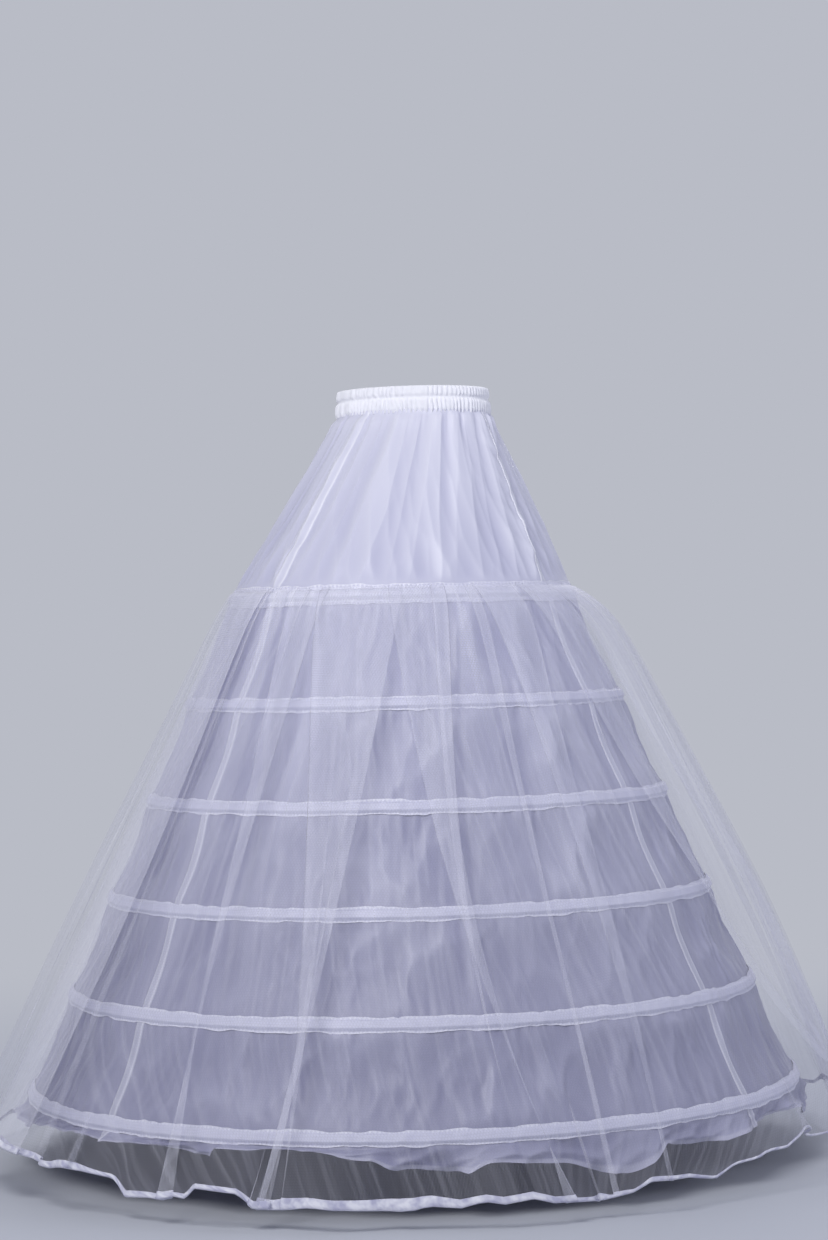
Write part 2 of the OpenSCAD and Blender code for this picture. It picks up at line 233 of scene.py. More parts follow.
def srgb(code):
    """Linear colour of an sRGB hex code."""
    parts = [int(code[i:i + 2], 16) / 255 for i in (1, 3, 5)]
    return [p / 12.92 if p <= 0.04045 else ((p + 0.055) / 1.055) ** 2.4 for p in parts] + [1]


def start_material(name):
    """A material with no nodes yet."""
    material = bpy.data.materials.new(name)
    material.use_nodes = True
    material.node_tree.nodes.clear()
    return material


def add_node(material, kind, sockets, **settings):
    """Adds a shader node with its settings. A socket takes a value, or a link from another node's output."""
    made = material.node_tree.nodes.new(kind)
    for name, value in settings.items():
        setattr(made, name, value)
    for name, value in sockets.items():
        if isinstance(value, bpy.types.NodeSocket):
            material.node_tree.links.new(value, made.inputs[name])
        else:
            made.inputs[name].default_value = value
    return made


# Satin-weave polyester: a filament cloth with a soft sheen. It is whiter where it lies in two layers, at a seam. One
# layer has painted shade: darker in its hollows and on one side of each fold, lighter on its crests, and darker low
# down, for the shaded inside showing through. In the yoke the seams and gathers are whiter still, a painted highlight.
# Its 0.1 mm threads are drawn at 2 mm.
satin = start_material("satin_weave_polyester")
satin_uv = add_node(satin, "ShaderNodeUVMap", {}, uv_map="cloth")
satin_layers_and_highlight = add_node(satin, "ShaderNodeAttribute", {}, attribute_name="layers_and_highlight")
satin_fold_shade = add_node(satin, "ShaderNodeAttribute", {}, attribute_name="painted_fold_shade")
satin_lower_shade = add_node(satin, "ShaderNodeAttribute", {}, attribute_name="painted_lower_shade")
satin_mottle = add_node(satin, "ShaderNodeTexNoise", {
    "Vector": satin_uv.outputs[0], "Scale": 1 / (55 * mm), "Detail": 3})
satin_shaded_tone = add_node(satin, "ShaderNodeMix", {
    0: satin_lower_shade.outputs["Fac"], 6: srgb("#B0B0CD"), 7: srgb("#777797")}, data_type="RGBA")
satin_lit_tone = add_node(satin, "ShaderNodeMix", {
    0: satin_lower_shade.outputs["Fac"], 6: srgb("#D6D6E8"), 7: srgb("#9D9DB8")}, data_type="RGBA")
satin_single = add_node(satin, "ShaderNodeMix", {
    0: satin_fold_shade.outputs["Fac"], 6: satin_shaded_tone.outputs[2], 7: satin_lit_tone.outputs[2]}, data_type="RGBA")
satin_layers = add_node(satin, "ShaderNodeMix", {
    0: satin_layers_and_highlight.outputs["Fac"], 6: satin_single.outputs[2], 7: srgb("#EAEAF5")}, data_type="RGBA")
satin_gloss = add_node(satin, "ShaderNodeMapRange", {"Value": satin_mottle.outputs[0], "To Min": 0.4, "To Max": 0.55})
satin_weave = add_node(satin, "ShaderNodeTexWave", {
    "Vector": satin_uv.outputs[0], "Scale": 1 / (20 * 2 * mm), "Distortion": 1.5, "Detail": 1},
    bands_direction="DIAGONAL")
satin_bump = add_node(satin, "ShaderNodeBump", {
    "Height": satin_weave.outputs["Fac"], "Strength": 0.06, "Distance": 0.3 * mm})
satin_shader = add_node(satin, "ShaderNodeBsdfPrincipled", {
    "Base Color": satin_layers.outputs[2], "Roughness": satin_gloss.outputs[0], "Normal": satin_bump.outputs[0],
    "Sheen Weight": 0.25, "Sheen Roughness": 0.35})
add_node(satin, "ShaderNodeOutputMaterial", {"Surface": satin_shader.outputs[0]})

held_drops, loose_drops = np.linspace(gore_top, tail_top, 154), np.linspace(tail_top, tail_bottom, 14)[1:]
lining_drops = np.concatenate([held_drops, loose_drops])[None, :]

# How close the cloth looks across a lapped seam, from its turned edge to its stitching. The first column stands twice,
# so that the edge turns under.
seam_layers = [1, 1, 0.6, 0.45, 0.4, 0.45, 0.6, 0.95]
for g, gore in enumerate(gores):
    start, end = seam_angles[g], seam_angles[g + 1]
    lap = np.degrees(seam_lap / np.maximum(cage_radius(lining_drops), waist_half_w))
    strip = np.linspace(0, 1, len(seam_layers) - 1)[[0, *range(len(seam_layers) - 1)], None]
    rest = np.linspace(0, 1, int(2.8 * (end - start)))[1:, None]
    angle = np.concatenate([start + strip * lap, start + lap + rest * (end - start)])
    drop = lining_drops + 0 * angle
    grid, proud = lining_surface(angle, drop)
    on_seam = np.concatenate([np.ones(len(strip)), np.zeros(len(rest))])[:, None]
    seam = np.array(seam_layers + [0] * len(rest))[:, None] + 0 * drop
    edge = 0.3 * np.clip((drop - tail_bottom + rolled_edge) / mm, 0, 1)
    gathered = 0.4 - 0.25 * np.clip((drop - yoke_top) / (yoke_bottom - yoke_top), 0, 1)
    gathered = gathered * np.clip((yoke_bottom + 20 * mm - drop) / (20 * mm), 0, 1)
    under_tape = np.any([np.abs(drop - d) < reach + 3 * mm for d, reach in zip(hoop_drops, tape_reach)], axis=0)
    lift = (1.1 - 0.8 * under_tape) * mm * on_seam - tucked_under * (angle > end + 0.1)
    lift[0] = -tucked_under
    grid[..., 0] += lift * np.cos(np.radians(angle))
    grid[..., 1] += lift * np.sin(np.radians(angle))
    # Painted shade: one layer is drawn darker lower down the skirt, for its shaded inside showing through
    painted_lower_shade = np.clip((drop - hoop_drops[0]) / (hoop_drops[-1] - hoop_drops[0]), 0, 1) ** 0.56
    # Whiter where the cloth lies in two layers, at seams, gathers and the rolled edge; in the yoke whiter still, a
    # painted highlight
    layers_and_highlight = (0.75 + 0.25 * (drop < yoke_bottom)) * np.maximum.reduce([seam, edge, gathered])
    # Painted shade on one layer: lighter on fold crests and on slopes that face one side, darker in hollows and on the
    # other slopes
    step = np.gradient(np.radians(angle), axis=0) * cage_radius(drop)
    slope = np.gradient(proud, axis=0) / np.maximum(step, 0.5 * mm)
    painted_fold_shade = np.clip(0.42 + proud / (14 * mm) + 0.55 * slope, 0, 1)
    piece = sew_sheet(f"lining_{gore}", grid, satin, {"layers_and_highlight": layers_and_highlight, "painted_fold_shade": painted_fold_shade, "painted_lower_shade": painted_lower_shade})
    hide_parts(f"lining_gore_{gore}")

# Hoop casings: satin tapes sewn to the lining along both edges, the top one taller. They stand off the
# cloth over the hoop, and their stitching draws both edges into small puckers.
crown_n = 3.9 * mm
pocket_half, pocket_side = 4.95 * mm, 2.2 * mm
tape_join = 92

# Satin tape: closer and whiter than the lining, brightest along its two turned edges, with a row of stitches 2.5 mm
# inside each, drawn 6 mm long. The edges are lighter still where the puckers stand out, a painted highlight, and the
# top tape is whiter all over.
tape = start_material("satin_tape")
tape_uv = add_node(tape, "ShaderNodeUVMap", {}, uv_map="cloth")
tape_row = add_node(tape, "ShaderNodeAttribute", {}, attribute_name="stitching")
tape_edge_and_pucker_light = add_node(tape, "ShaderNodeAttribute", {}, attribute_name="edge_and_pucker_light")
tape_place = add_node(tape, "ShaderNodeSeparateXYZ", {0: tape_uv.outputs[0]})
tape_pace = add_node(tape, "ShaderNodeMath", {0: tape_place.outputs[0], 1: 2 * np.pi / (6 * mm)}, operation="MULTIPLY")
tape_beat = add_node(tape, "ShaderNodeMath", {0: tape_pace.outputs[0]}, operation="SINE")
tape_dash = add_node(tape, "ShaderNodeMapRange", {"Value": tape_beat.outputs[0], "From Min": -0.4, "From Max": 0.1})
tape_stitch = add_node(tape, "ShaderNodeMath", {
    0: tape_dash.outputs[0], 1: tape_row.outputs["Fac"]}, operation="MULTIPLY")
tape_mottle = add_node(tape, "ShaderNodeTexNoise", {"Vector": tape_uv.outputs[0], "Scale": 1 / (18 * mm), "Detail": 3})
tape_cloth = add_node(tape, "ShaderNodeMix", {
    0: tape_mottle.outputs[0], 6: srgb("#C3C3DB"), 7: srgb("#D6D6E8")}, data_type="RGBA")
tape_edge_and_highlight = add_node(tape, "ShaderNodeMix", {
    0: tape_edge_and_pucker_light.outputs["Fac"], 6: tape_cloth.outputs[2], 7: srgb("#ECECF7")}, data_type="RGBA")
tape_colour = add_node(tape, "ShaderNodeMix", {
    0: tape_stitch.outputs[0], 6: tape_edge_and_highlight.outputs[2], 7: srgb("#C6C6DC")}, data_type="RGBA")
tape_bump = add_node(tape, "ShaderNodeBump", {
    "Height": tape_stitch.outputs[0], "Strength": 0.5, "Distance": 0.5 * mm}, invert=True)
tape_shader = add_node(tape, "ShaderNodeBsdfPrincipled", {
    "Base Color": tape_colour.outputs[2], "Roughness": 0.48, "Normal": tape_bump.outputs[0],
    "Sheen Weight": 0.3, "Sheen Roughness": 0.3})
add_node(tape, "ShaderNodeOutputMaterial", {"Surface": tape_shader.outputs[0]})

for i, (hoop_drop, tape_h) in enumerate(zip(hoop_drops, tape_heights), start=1):
    around = 2 * np.pi * cage_radius(hoop_drop)
    angle = np.linspace(tape_join, tape_join + 360, int(around / (3 * mm)))[:, None]
    across = np.linspace(-1, 1, 13)[None, :] * tape_h / 2
    over_hoop = np.clip((pocket_half + pocket_side - np.abs(across)) / pocket_side, 0, 1)
    over_hoop = over_hoop * over_hoop * (3 - 2 * over_hoop)
    at_edge = np.clip((np.abs(across) - pocket_half) / (tape_h / 2 - pocket_half), 0, 1)
    cells = int(around / (9 * mm))
    leaning = angle + np.degrees(0.35 * across / cage_radius(hoop_drop))
    pucker = crumple(leaning, 0.3 * across / tape_h + 3, cells, 60 + i)
    stand = 0.5 * mm + (crown_n - 0.2 * mm) * over_hoop + 0.3 * mm * (1 + pucker) * at_edge
    stand = stand + 0.45 * mm * pucker * over_hoop
    uneven = 1.6 * mm * crumple(angle, 2 * np.sign(across) + 3, cells // 3, 70 + i) + 0.8 * mm * pucker
    rise = -across + at_edge * uneven
    r = cage_radius(hoop_drop) + stand * np.cos(cage_angle) - rise * np.sin(cage_angle)
    z = -hoop_drop + stand * np.sin(cage_angle) + rise * np.cos(cage_angle)
    x, y = cage_middle[0] + r * np.cos(np.radians(angle)), cage_middle[1] + r * np.sin(np.radians(angle))
    from_edge = tape_h / 2 - np.abs(across) + 0 * angle
    stitching = np.exp(-((from_edge - 2.5 * mm) / (1.2 * mm)) ** 2)
    # Turned edges whiter, and the whole top tape; painted highlight where the puckers stand out
    edge_and_pucker_light = np.clip(1.7 - from_edge / (1.8 * mm), 0.75 * (i == 1), 1) * (0.65 + 0.35 * pucker)
    masks = {"stitching": stitching, "edge_and_pucker_light": edge_and_pucker_light}
    piece = sew_sheet(f"hoop_{i}_casing_tape", np.stack([x, y, z], -1), tape, masks)
    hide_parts(f"hoop_casing_{i}")

# Hoops: flat spring-steel strips with a white plastic coat, closed to a ring by a crimped steel sleeve.
# They are threaded through the casings, so they show only by the line that they hold.

# White plastic coat over spring steel: smooth and a little glossy, with a faint unevenness from dipping
coat = start_material("plastic_coated_spring_steel")
coat_place = add_node(coat, "ShaderNodeNewGeometry", {})
coat_mottle = add_node(coat, "ShaderNodeTexNoise", {
    "Vector": coat_place.outputs["Position"], "Scale": 1 / (30 * mm), "Detail": 4})
coat_colour = add_node(coat, "ShaderNodeMix", {
    0: coat_mottle.outputs[0], 6: srgb("#E6E6E2"), 7: srgb("#F3F3F0")}, data_type="RGBA")
coat_gloss = add_node(coat, "ShaderNodeMapRange", {"Value": coat_mottle.outputs[0], "To Min": 0.3, "To Max": 0.45})
coat_bump = add_node(coat, "ShaderNodeBump", {"Height": coat_mottle.outputs[0], "Strength": 0.1, "Distance": 0.1 * mm})
coat_shader = add_node(coat, "ShaderNodeBsdfPrincipled", {
    "Base Color": coat_colour.outputs[2], "Roughness": coat_gloss.outputs[0], "Normal": coat_bump.outputs[0],
    "IOR": 1.5})
add_node(coat, "ShaderNodeOutputMaterial", {"Surface": coat_shader.outputs[0]})

# Zinc-plated steel, crimped: bare grey metal, scratched by the tool
sleeve = start_material("crimped_zinc_plated_steel")
sleeve_place = add_node(sleeve, "ShaderNodeNewGeometry", {})
sleeve_scratch = add_node(sleeve, "ShaderNodeTexNoise", {
    "Vector": sleeve_place.outputs["Position"], "Scale": 1 / (4 * mm), "Detail": 6})
sleeve_colour = add_node(sleeve, "ShaderNodeMix", {
    0: sleeve_scratch.outputs[0], 6: srgb("#A9ABAF"), 7: srgb("#C9CBCF")}, data_type="RGBA")
sleeve_gloss = add_node(sleeve, "ShaderNodeMapRange", {
    "Value": sleeve_scratch.outputs[0], "To Min": 0.25, "To Max": 0.5})
sleeve_shader = add_node(sleeve, "ShaderNodeBsdfPrincipled", {
    "Base Color": sleeve_colour.outputs[2], "Roughness": sleeve_gloss.outputs[0], "Metallic": 1})
add_node(sleeve, "ShaderNodeOutputMaterial", {"Surface": sleeve_shader.outputs[0]})

for i in range(1, len(hoop_drops) + 1):
    for piece, finish in ((f"hoop_{i}", coat), (f"hoop_joiner_{i}", sleeve)):
        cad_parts[piece].data.materials.clear()
        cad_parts[piece].data.materials.append(finish)

# Waistband: a strip of the same white cloth folded over at the top and sewn through along its middle,
# which makes two channels. The elastics in them draw it up into two shirred rows.
stitch_drop = 15.9 * mm
band_depth, top_fold, band_frill = 3.75 * mm, 1.2 * mm, 2 * mm
band_lean, lean_side = 0.02, np.radians(40)

# Shirred polyester-cotton: matt, with gathers that shade each other and a woven rib drawn at 1.6 mm
shirred = start_material("shirred_polyester_cotton")
shirred_uv = add_node(shirred, "ShaderNodeUVMap", {}, uv_map="cloth")
shirred_mottle = add_node(shirred, "ShaderNodeTexNoise", {
    "Vector": shirred_uv.outputs[0], "Scale": 1 / (9 * mm), "Detail": 3})
shirred_colour = add_node(shirred, "ShaderNodeMix", {
    0: shirred_mottle.outputs[0], 6: srgb("#E9E9F3"), 7: srgb("#F6F6FC")}, data_type="RGBA")
shirred_rib = add_node(shirred, "ShaderNodeTexWave", {
    "Vector": shirred_uv.outputs[0], "Scale": 1 / (20 * 1.6 * mm), "Distortion": 2, "Detail": 2})
shirred_bump = add_node(shirred, "ShaderNodeBump", {
    "Height": shirred_rib.outputs["Fac"], "Strength": 0.25, "Distance": 0.3 * mm})
shirred_shader = add_node(shirred, "ShaderNodeBsdfPrincipled", {
    "Base Color": shirred_colour.outputs[2], "Roughness": 0.75, "Normal": shirred_bump.outputs[0],
    "Sheen Weight": 0.2, "Sheen Roughness": 0.5})
add_node(shirred, "ShaderNodeOutputMaterial", {"Surface": shirred_shader.outputs[0]})

angle = np.linspace(90, 450, 900)[:, None]
inside = np.stack([np.zeros(9), np.linspace(band_h, top_fold, 9)])
fold = np.linspace(np.pi, 0, 9)
fold_over = np.stack([band_depth / 2 - band_depth / 2 * np.cos(np.pi - fold), top_fold - top_fold * np.sin(fold)])
outside = np.stack([np.full(33, band_depth), np.linspace(top_fold, band_h + band_frill, 33)])
profile = np.concatenate([inside, fold_over[:, 1:-1], outside], 1)
outward, drop = profile[0][None, :], profile[1][None, :]
on_outside = np.clip(outward / band_depth, 0, 1) ** 2
off_stitch = 1 - np.exp(-((drop - stitch_drop) / (2.6 * mm)) ** 2)
lower = drop > stitch_drop
channel = np.clip(np.where(lower, (drop - stitch_drop) / (band_h - stitch_drop), drop / stitch_drop), 0, 1)
bulge = np.sin(np.pi * channel) ** 0.6
wander = 150 * crumple(angle, 4 * lower, 38, 80) + 50 * crumple(angle, 0.1 * drop / mm + 5 * lower, 60, 83)
gather_count = np.where(lower, 104, 98)
gathers = np.cos(np.radians(gather_count * angle + wander)) * (0.7 + 0.5 * crumple(angle, 6 * lower, 70, 84))
gathers = gathers + 0.35 * crumple(angle, 0.15 * drop / mm, 210, 81)
frill = np.clip((drop - band_h + 3 * mm) / (5 * mm), 0, 1)
swell = off_stitch * (1.35 * mm * gathers + 1.3 * mm * bulge) - 0.9 * mm * (1 - off_stitch)
flare = band_flare * np.clip(drop / band_h, 0, 1)
outward = outward + on_outside * (flare + swell - 1.2 * mm * frill + 0.8 * mm * frill * gathers)
drop = drop + 0.6 * mm * gathers * on_outside * frill
cos, sin = np.cos(np.radians(angle)), np.sin(np.radians(angle))
grid = np.stack([(waist_half_w + outward) * cos, (waist_half_d + outward) * sin, -drop + 0 * cos], -1)
grid[..., 2] -= band_lean * (np.cos(lean_side) * grid[..., 0] + np.sin(lean_side) * grid[..., 1])
waistband = sew_sheet("shirred_waistband", grid, shirred, {})
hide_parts("waistband")

# Elastics: two flat bands of rubber thread woven in with polyester, one threaded through each channel of the
# waistband. They grip the waist and hold the skirt up.

# Woven elastic: matt and off-white, with lengthwise ribs drawn at 1.5 mm
elastic = start_material("woven_elastic")
elastic_place = add_node(elastic, "ShaderNodeNewGeometry", {})
elastic_rib = add_node(elastic, "ShaderNodeTexWave", {
    "Vector": elastic_place.outputs["Position"], "Scale": 1 / (20 * 1.5 * mm)}, bands_direction="Z")
elastic_colour = add_node(elastic, "ShaderNodeMix", {
    0: elastic_rib.outputs["Fac"], 6: srgb("#DADADE"), 7: srgb("#F0F0F2")}, data_type="RGBA")
elastic_bump = add_node(elastic, "ShaderNodeBump", {
    "Height": elastic_rib.outputs["Fac"], "Strength": 0.4, "Distance": 0.3 * mm})
elastic_shader = add_node(elastic, "ShaderNodeBsdfPrincipled", {
    "Base Color": elastic_colour.outputs[2], "Roughness": 0.85, "Normal": elastic_bump.outputs[0]})
add_node(elastic, "ShaderNodeOutputMaterial", {"Surface": elastic_shader.outputs[0]})
for piece in ("waist_elastic_upper", "waist_elastic_lower"):
    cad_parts[piece].data.materials.clear()
    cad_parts[piece].data.materials.append(elastic)

# Net overskirt: four widths of soft nylon net, sewn along the top of the upper casing. It springs out over the hoop,
# most at the left back, and falls clear of the cage in overlapping pleats, which fan out and soften towards the hem.
net_top = hoop_drops[0] - 13 * np.cos(cage_angle) * mm
net_crown = hoop_drops[0] - 6.15 * mm * np.cos(cage_angle) - crown_n * np.sin(cage_angle)
net_hem = 1040 * mm
net_crown_r = cage_radius(net_crown) + (crown_n + 0.3 * mm) / np.cos(cage_angle)
net_hem_r = bottom_hoop_r + 70 * mm
net_loose_side = 40

# Pleats sewn into the top edge, where the net lies in three layers, which narrow to a point below: [angle, half width
# in degrees, share of the fall to the point, depth in mm, side that lies on top]. The first one is broad, and fans out
# to the hem. It and the next ones are those that show from the front left, and the others are scattered round the rest.
dice = np.random.default_rng(12)
pleats = [
    [-110.5, 11.5, 3, 8, -1], [-81, 7.5, 0.8, 5, -1], [-62, 12.5, 0.86, 6, 1], [-44, 10.5, 0.74, 6, -1],
    [-19, 7.5, 0.54, 5, 1], [-1, 8, 1.3, 6, 1], [18, 10, 1.3, 7, -1], [37, 9, 1.1, 6, 1],
] + [
    [at, dice.uniform(6, 10), dice.uniform(0.5, 1.2), dice.uniform(5, 7), dice.choice([-1, 1])]
    for at in np.linspace(57, 213, 9)]

# Narrow pleats between them, but none at the net's two sides, where it hangs straight, or over the fourth broad one
narrow_pleats = [
    [at, dice.uniform(1.5, 2.6), dice.uniform(0.4, 1.1), 3, dice.choice([-1, 1])] for at in np.arange(-116, 244, 9.7)]
narrow_ranges = [(-100, -45), (-35, 22), (85, 180)]
pleats += [pleat for pleat in narrow_pleats if any(low < pleat[0] < high for low, high in narrow_ranges)]

# Where the hang of the net draws it sideways towards the hem: [angle, reach before, reach after, degrees at the hem]
sweeps = [
    [-1, 18, 60, 26], [-95, 42, 12, -4], [-62, 18, 12, -6], [-44, 14, 22, 12], [120, 40, 22, -9], [188, 20, 34, 9]]

# Flutes where spare width at the hem folds over, but not at the net's two sides: [angle, half width in degrees,
# overlap, depth in mm, share of the fall where it starts, side]
flutes = [[
    at, dice.uniform(0.5, 1.2), dice.uniform(0.8, 1.9), dice.uniform(4, 8), dice.uniform(0.62, 0.93),
    dice.choice([-1, 1])] for at in (np.arange(36) + dice.uniform(-0.4, 0.4, 36)) * 10]
flutes = [flute for flute in flutes if flute[0] < 20 or 85 < flute[0] < 180 or flute[0] > 262]

# The hem's line, as [angle, height in mm]: as it hangs at the front left, and scattered round the rest. Small kinks in
# it are given in the same way.
hem_line = [
    [-116, 50], [-105, 33], [-95, 28], [-88.5, 22], [-87, 8], [-82, 8], [-77.5, 7], [-76, 22], [-71, 19], [-69, 1],
    [-62, 3], [-52, 3], [-50, 0], [-44, 4], [-33, 2], [-27.5, -2], [-21.5, 14], [-17, 12], [-11.5, 9], [-9, 20],
    [-4, 28], [-0.5, 25], [4.6, 45], [10.5, 33], [16, 28], [20, 33],
] + [[at, dice.uniform(-6, 24)] for at in np.linspace(24, 234, 26) + dice.uniform(-3, 3, 26)]
small_kinks = [[at, dice.uniform(-4, 4)] for at in np.arange(0, 360, 3) + dice.uniform(-1.2, 1.2, 120)]


def net_surface(spread, drop):
    """Points on the net at angles of its cloth, in degrees, and drops below the waist, with the angles that it folds
    to, its creases, and where it lies in three layers."""
    fall = np.clip((drop - net_crown) / (net_hem - net_crown), 0, None)
    middle = net_crown_r + (net_hem_r - net_crown_r) * fall
    angle, fold = spread + 0 * fall, 0 * spread * fall
    creased, tripled = fold, fold
    for at, half, point, depth, side in pleats:
        under = 0.42 * half
        x = degrees_from(at, spread) / under
        turn = np.where(np.abs(x) < 1, x, np.sign(x) * np.clip((3 - np.abs(x)) / 2, 0, 1))
        fans = point > 2
        lap = np.maximum(half * (1 - fall / point) * (1 if fans else net_crown_r / middle), -0.9 * under)
        angle = angle - (lap + under) * turn
        inside = lap - np.abs(x * under - (lap + under) * turn)
        tripled = np.maximum(tripled, np.clip(inside / 0.3 + 1, 0, 1) * (lap > 0) * (not fans))
        fold = fold + side * depth * mm * turn * np.sqrt(np.clip(lap / half, 0, 1))
        creased = np.maximum(creased, np.exp(-((np.abs(x) - 1) * under / 0.35) ** 2) * np.clip(4 * lap / half, 0, 1))
    for at, before, after, degrees in sweeps:
        away = degrees_from(at, spread)
        angle = angle + degrees * fall ** 2 * np.clip(1 - (away / np.where(away < 0, before, after)) ** 2, 0, 1) ** 2
    for at, width, overlap, depth, start, side in flutes:
        x = degrees_from(at, spread) / width
        grown = np.clip((fall - start) / (1 - start), 0, 1)
        turn = x * np.exp(-x * x / 2) * grown
        angle = angle - overlap * width * turn
        tripled = np.maximum(tripled, np.exp(-x * x / 5) * np.clip(overlap * grown - 0.5, 0, 1))
        fold = fold + side * depth * mm * 1.6 * turn
    fold = fold * np.minimum(1, 0.06 + fall ** 0.6)
    stands_off = np.cos(np.radians(angle - net_loose_side))
    billows = waves(angle, [(19, 0.5, 0), (11, 0.28, 50), (29, 0.22, -90)])
    fold = fold + (13 + 3 * stands_off) * mm * fall ** 0.7 * billows
    fold = fold + 5 * mm * fall ** 0.6 * crumple(angle + 3 * fall, 2.5 * fall, 96, 90)
    fold = fold + 1.5 * mm * fall ** 0.4 * crumple(spread, 5 * fall, 190, 92)
    spring = (26 + 19 * stands_off) * mm * (1 - np.exp(-(drop - net_crown) / (30 * mm))) * (1 - fall)
    belly = (20 + 4 * stands_off) * mm * np.sin(np.pi * np.clip(fall, 0, 1) ** 1.6)
    flare = 22 * mm * stands_off ** 2 * fall ** 5
    middle = middle + spring + belly + flare
    clear = cage_radius(drop) + crown_n + 4 * mm * np.minimum(1, 10 * fall)
    r = np.where(drop < net_crown, cage_radius(drop) + 1.6 * mm, np.maximum(middle + fold, clear))
    kinks = hang_line(angle, hem_line, False) + hang_line(angle, small_kinks, False)
    rise = fall ** 4 * (kinks * mm + 0.3 * fold)
    x, y = cage_middle[0] + r * np.cos(np.radians(angle)), cage_middle[1] + r * np.sin(np.radians(angle))
    return np.stack([x, y, -drop + rise], -1), angle, creased, tripled


def outward_normals(grid):
    """Unit normals of cloth through grid[column, row], on its outer side."""
    normals = -np.cross(np.gradient(grid, axis=0), np.gradient(grid, axis=1))
    return normals / np.linalg.norm(normals, axis=2, keepdims=True)


# Nylon net: fine hexagonal mesh that is mostly air. The mesh is drawn at 4 mm for real holes of about 1.2 mm, as the
# sum of three sets of waves, with long streaks where it is crushed. It is closer on the flanks and edges of pleats.
mesh_pitch = 4 * mm
net = start_material("soft_nylon_net")
net_uv = add_node(net, "ShaderNodeUVMap", {}, uv_map="cloth")
net_close = add_node(net, "ShaderNodeAttribute", {}, attribute_name="closeness")
net_holes = 0
for turn in np.radians([90, 30, -30]):
    pace = 4 * np.pi / np.sqrt(3) / mesh_pitch
    net_phase = add_node(net, "ShaderNodeVectorMath", {
        0: net_uv.outputs[0], 1: (pace * np.cos(turn), pace * np.sin(turn), 0)}, operation="DOT_PRODUCT")
    net_wave = add_node(net, "ShaderNodeMath", {0: net_phase.outputs["Value"]}, operation="COSINE")
    net_holes = add_node(net, "ShaderNodeMath", {0: net_wave.outputs[0], 1: net_holes}, operation="ADD").outputs[0]
net_thread = add_node(net, "ShaderNodeMapRange", {
    "Value": net_holes, "From Min": -1.2, "From Max": 0.8, "To Min": 0.15, "To Max": 0.07})
net_grain = add_node(net, "ShaderNodeVectorMath", {0: net_uv.outputs[0], 1: (1, 0.03, 0)}, operation="MULTIPLY")
net_strands = add_node(net, "ShaderNodeTexNoise", {"Vector": net_grain.outputs[0], "Scale": 1 / (9 * mm), "Detail": 3})
net_streak = add_node(net, "ShaderNodeMapRange", {
    "Value": net_strands.outputs[0], "From Min": 0.45, "From Max": 0.75, "To Max": 0.11})
net_layer = add_node(net, "ShaderNodeMath", {0: net_streak.outputs[0], 1: net_thread.outputs[0]}, operation="ADD")
net_density = add_node(net, "ShaderNodeMath", {
    0: net_close.outputs["Fac"], 1: net_layer.outputs[0]}, operation="ADD", use_clamp=True)
net_cloud = add_node(net, "ShaderNodeTexNoise", {"Vector": net_uv.outputs[0], "Scale": 1 / (120 * mm), "Detail": 2})
net_colour = add_node(net, "ShaderNodeMix", {
    0: net_cloud.outputs[0], 6: srgb("#E4E4F4"), 7: srgb("#F2F2FC")}, data_type="RGBA")
net_shader = add_node(net, "ShaderNodeBsdfPrincipled", {
    "Base Color": net_colour.outputs[2], "Roughness": 0.6, "Alpha": net_density.outputs[0],
    "Sheen Weight": 0.2, "Sheen Roughness": 0.4})
add_node(net, "ShaderNodeOutputMaterial", {"Surface": net_shader.outputs[0]})

net_lap = 8 * mm
sewn_drops = np.linspace(net_top, net_crown, 5)[:-1]
hung_drops = net_crown + (net_hem - net_crown) * np.linspace(0, 1, 97) ** 1.1
net_drops = np.concatenate([sewn_drops, hung_drops])
for g, gore in enumerate(gores):
    start, end = seam_angles[g], seam_angles[g + 1] + np.degrees(net_lap / net_hem_r)
    spread = np.linspace(start, end, int(4.2 * (end - start)))[:, None]
    grid, angle, creased, tripled = net_surface(spread, net_drops[None, :])
    across = np.stack([np.cos(np.radians(angle)), np.sin(np.radians(angle))], -1)
    facing = np.abs((outward_normals(grid)[..., :2] * across).sum(-1)) / np.cos(cage_angle)
    below = np.maximum(0, net_drops - net_crown)
    gathered = 0.17 * np.exp(-below / (280 * mm)) * (1 - tripled) - 0.03 * tripled
    closeness = np.clip(0.16 * (1 / np.maximum(facing, 0.2) - 1), 0, 0.26) + gathered + 0.05 * creased
    piece = sew_sheet(f"net_{gore}", grid, net, {"closeness": closeness})
    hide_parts(f"net_panel_{gore}")

# Hem binding: a narrow satin ribbon folded round the net's lower edge and sewn through, which keeps the
# hem crisp. It follows every pleat of the net.
binding_h = 11 * mm
ribbon_stand = 1.1 * mm

# Satin ribbon: close white satin with a soft lengthwise gloss and fine cross ribs drawn at 2 mm. Its crinkles are
# painted in as random lighter and darker patches, painted highlight and shade
ribbon = start_material("satin_ribbon")
ribbon_uv = add_node(ribbon, "ShaderNodeUVMap", {}, uv_map="cloth")
ribbon_light_noise = add_node(ribbon, "ShaderNodeTexNoise", {
    "Vector": ribbon_uv.outputs[0], "Scale": 1 / (14 * mm), "Detail": 2})
